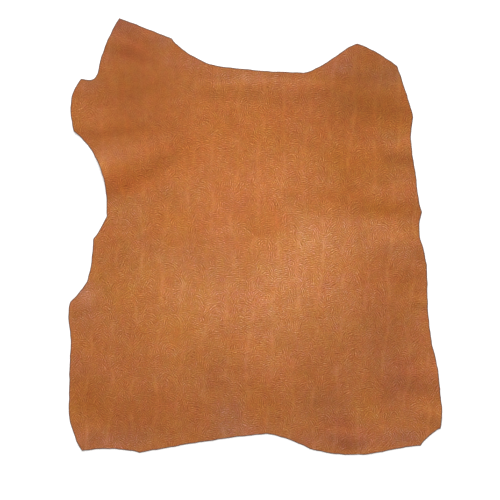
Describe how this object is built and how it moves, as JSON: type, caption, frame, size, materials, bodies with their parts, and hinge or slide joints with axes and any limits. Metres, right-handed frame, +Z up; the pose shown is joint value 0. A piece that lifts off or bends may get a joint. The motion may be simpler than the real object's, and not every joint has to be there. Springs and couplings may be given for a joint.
{
  "type": "leather hide",
  "caption": "Whole goat hide, tanned and embossed with an all-over leaf pattern, cut round its natural outline and laid out flat with soft waves at its edges.",
  "frame": {"origin": "on the surface that the hide lies on, at the middle of the rectangle that just holds its outline", "axes": "+Y along the hide to its neck end, +X across it to its right flank as seen from above, +Z up, from the flesh side to the grain side"},
  "size_m": [0.708, 0.827, 0.0097],
  "materials": {
    "leather": "tan, embossed grain with a soft satin sheen"
  },
  "bodies": {
    "root": {"hide": "leather"}
  },
  "joints": []
}
